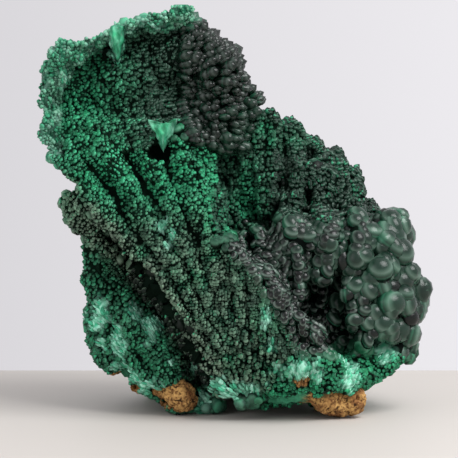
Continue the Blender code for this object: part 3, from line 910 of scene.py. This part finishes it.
# so the skin takes the knobs' foot colours, which are painted shade, all over
values["way"] = values["axis"] = np.zeros((len(places), 3))   # the skin has no crowns of its own
print("columns and clumps raised")


def splitPieces(names, faces):
    # the skin in bands of equally many faces from the top down, each a piece with only its own points
    height = places[faces[:, 0], 2]
    borders = np.quantile(height, np.linspace(1, 0, len(names) + 1)[1:-1])
    band = (height[:, None] < borders).sum(axis=1)
    for number, name in enumerate(names):
        own = faces[band == number]
        used, local = np.unique(own.ravel(), return_inverse=True)
        mesh = meshFromArrays(name, places[used], local.reshape(-1, 4),
                              {label: numbers[used] for label, numbers in values.items()})
        newPiece(mesh, malachite["groundMalachite"], "velvet_malachite", "malachite")


splitPieces(["skinCrown", "skinBase"], faces)


def growKnobs(name, region, point, middle, axis, radius, length, squash, rank):
    # One region's knobs as one piece, moved in where they would pass the solid's box. Each takes its
    # colours from the skin that it stands on, with the skin's painted shade in the cracks weakened and kept
    # above the region's least; its tone and the directions from which its crown is worked out are its own.
    # The painted highlight on the edges and the dark colour fade on big knobs.
    reach = (radius * length)[:, None]
    middle = np.clip(middle, low + reach, high - reach)
    plainBack = name.startswith("rest") or name.endswith("Hidden")
    cuts = 2 if plainBack else 1 + np.digitize(radius.mean(), knobFacts["rounder"])
    spots, quads, way, each = manyBalls(middle, axis, radius, length, squash, cuts)
    spots = np.clip(spots, low, high)
    own = {label: np.repeat(numbers[point], each, axis=0) for label, numbers in values.items()}
    crack = 0.35 if name.endswith("Hidden") else region.get("crack", 0.65)
    own.update({"way": way, "axis": np.repeat(axis, each, axis=0), "tone": np.repeat(rank, each),
                "cleft": np.maximum(crack * own["cleft"], region.get("shadeFloor", 0.0))})
    for label in ("bright", "dark"):
        first, last, most = knobFacts[label]
        own[label] = own[label] * np.repeat(1.0 - most * smoothStep(first, last, radius), each)
    finish = malachite[region.get("finish", "velvetMalachite")]
    newPiece(meshFromArrays(name + "Knobs", spots, quads, own), finish, "velvet_malachite", "malachite")
    return spots


crops = knobSeeds(places, smooth, plane, shares, values, wander)
print("knobs seeded in", len(crops), "crops")
# the lobes' knobs differ most in size, so they are parted at two radii
lobes = crops.pop("lobes")
step = np.digitize(lobes[3], (1.6, 2.9))
for number, name in enumerate(("lobesSmall", "lobesMiddle", "lobesLarge")):
    crops[name] = tuple(part[step == number] for part in lobes)
grown = []
for name, crop in crops.items():
    region = next(region for start, region in regions.items() if name.startswith(start))
    grown.append(growKnobs(name, region, *crop))
grown = np.concatenate(grown)
print("knobs grown")

# Two broken flakes, narrow below and wide above: the place of each on the middle plane, its half width,
# half thickness and height, how far its upper corners rise as horns, the power at which it widens, its
# ribs, how far it stands forward and how much of it is mint. Noise of a height and a length crumples it.
flakes = {
    "swallowFlake": {"place": (-32, 121), "size": (8.5, 1.2, 14.0), "horns": 5.0, "widen": 1.1,
                     "ribs": 11.0, "forward": 2.0, "mint": 0.5},
    "brightTongue": {"place": (-51, 161), "size": (4.2, 2.0, 16.0), "horns": 1.0, "widen": 0.6,
                     "ribs": 6.0, "forward": 1.0, "mint": 0.6},
}
crumple = (1.1, 3.2)


def flakePiece(name):
    # A closed thin fan made from a ball: its half width grows with the height to the power of widen and
    # closes at the top, its corners rise by horns, ribs run up its face and noise crumples it.
    flake = flakes[name]
    unit, quads = unitBall(18)
    ring = np.sqrt(np.maximum(1.0 - unit[:, 2] ** 2, 1e-4))
    up = 0.5 + 0.5 * unit[:, 2]
    halfWidth, halfThick, tall = flake["size"]
    wide = up ** flake["widen"] * np.sqrt(1.0 - up ** 10)
    across = unit[:, 0] / ring
    places = np.stack([halfWidth * wide * across, halfThick * unit[:, 1], tall * (up - 0.5)], axis=1)
    places[:, 2] += flake["horns"] * (wide * np.abs(across)) ** 1.5 - 0.3 * flake["horns"] * up ** 3
    places[:, 1] += 0.7 * up * np.cos(flake["ribs"] * across) - 1.0 * up ** 2
    height, size = crumple
    folds = [roughNoise(places + 50.0, size, seed, 4) for seed in (811, 812, 813)]
    places += height * np.stack(folds, axis=1)
    home = grown[sighted(grown, onMiddlePlane(grown), flake["place"])]
    places += home - (0.0, flake["forward"], 0.0)
    own = {label: np.zeros(len(places)) for label in values if label not in ("way", "axis")}
    # the flake's crown and flank colours are painted sheen, and it takes a painted highlight toward the light
    own.update({"way": unit, "axis": np.tile((0.0, -0.45, 0.0), (len(places), 1)),
                "emerald": np.ones(len(places)), "bright": np.full(len(places), 0.7),
                "tone": 0.5 + 0.5 * softNoise(places, 1.5, 814),
                "mint": flake["mint"] * smoothStep(-0.4, 0.6, roughNoise(places, 3.0, 815)),
                "streak": 0.5 + 0.5 * softNoise(places / (0.5, 1.0, 4.0), 1.0, 816)})
    mesh = meshFromArrays(name, np.clip(places, low, high), quads, own)
    newPiece(mesh, malachite["velvetMalachite"], "velvet_malachite", "malachite")


for name in flakes:
    flakePiece(name)

# The limonite lumps: the even skin, pitch and height of the clods and of the crumbs on them, length and
# height of the roughness, the share of the height from which green crust grows, and where it ends at
# the right lump's left.
lump = {
    "voxel": 0.6, "melt": 6, "clods": (4.0, 2.0), "crumbs": (1.5, 1.0), "roughness": (2.0, 0.5),
    "crustAbove": 0.75, "crustEnds": (27.0, 32.0),
}


def limoniteLump(nodeName):
    # a lump's skin with clods, crumbs and noise added up on it
    places, faces = evenSkin(nodeName, lump["voxel"], lump["melt"])
    pitch, height = lump["clods"]
    clod, _, gap, _ = knobCrowd(places, pitch, 401)
    lift = (clod - 0.6) * height
    pitch, height = lump["crumbs"]
    crumb, cap, _, _ = knobCrowd(places + 3.0, pitch, 402)
    lift = lift + (crumb - 0.6) * height
    size, height = lump["roughness"]
    lift = lift + height * roughNoise(places, size, 403)
    places = np.clip(places + outward(places, faces) * lift[:, None], low, high)
    top = places[:, 2].max()
    crust = (places[:, 2] / top - lump["crustAbove"]) + 0.4 * roughNoise(places, 5.0, 404)
    green = smoothStep(0.0, 0.3, crust)
    if nodeName == "limonite_right":
        ragged = places[:, 0] + 5.0 * roughNoise(places, 6.0, 405)
        green = np.maximum(green, 1.0 - smoothStep(*lump["crustEnds"], ragged))
    # cap, low at the crumbs' feet and where they meet, is where the finish paints shade
    mesh = meshFromArrays(nodeName.replace("_", "") + "Lump", places, faces,
                          {"cap": cap * smoothStep(0.02, 0.15, gap), "green": green})
    newPiece(mesh, limonite, "limonite", nodeName)


for side in ("limonite_left", "limonite_right"):
    limoniteLump(side)

tableFacts = {"colour": "#c4bfb9", "roughness": 0.6, "reach": 900.0, "backEdge": 117.0}


def layTable():
    # A flat square under the specimen, cut off at its back edge: smooth painted board, pale and nearly
    # matt.
    half, back = tableFacts["reach"] * mm, tableFacts["backEdge"] * mm
    mesh = bpy.data.meshes.new("table")
    corners = [(-half, -half, 0), (half, -half, 0), (half, back, 0), (-half, back, 0)]
    mesh.from_pydata(corners, [], [(0, 1, 2, 3)])
    table = inScene("table", mesh)
    material, tree = newFinish("paleTable")
    surface = addNode(tree, "BsdfPrincipled", {"Base Color": tableFacts["colour"],
                                               "Roughness": tableFacts["roughness"]})
    addNode(tree, "OutputMaterial", {"Surface": surface})
    mesh.materials.append(material)


# the room's two walls, and its soft square lamps with place and size in metres and power in watts
studio = {
    "leftWall": "#d8d6da", "rightWall": "#eeecf0", "strength": 1.0,
    "lamps": {
        "window": {"place": (0.5, -0.35, 0.8), "size": 0.6, "power": 9.0},
        "fill": {"place": (-0.7, -0.6, 0.4), "size": 0.8, "power": 1.8},
    },
    "aim": (0.0, 0.0, 0.09),
}


def makeStudio():
    # an even pale room, a little lighter on the right, with its lamps turned to the specimen, and
    # colours shown as they are
    bpy.context.scene.view_settings.view_transform = "Standard"
    world = bpy.data.worlds.new("studio")
    bpy.context.scene.world = world
    world.use_nodes = True
    tree = world.node_tree
    way = addNode(tree, "TexCoord", {}, "Generated")
    side = addNode(tree, "SeparateXYZ", {"Vector": way}, "X")
    right = addNode(tree, "MapRange", {"Value": side, "From Min": -0.12, "From Max": 0.12})
    wall = addNode(tree, "Mix", {"data_type": "RGBA", 0: right, 6: studio["leftWall"],
                                 7: studio["rightWall"]}, 2)
    room = tree.nodes["Background"]
    room.inputs["Strength"].default_value = studio["strength"]
    tree.links.new(wall, room.inputs["Color"])
    for name, facts in studio["lamps"].items():
        light = bpy.data.lights.new(name, "AREA")
        light.size = facts["size"]
        light.energy = facts["power"]
        lamp = inScene(name, light)
        lamp.location = facts["place"]
        toward = Vector(studio["aim"]) - Vector(facts["place"])
        lamp.rotation_euler = toward.to_track_quat("-Z", "Y").to_euler()


layTable()
makeStudio()
print("table and light set")
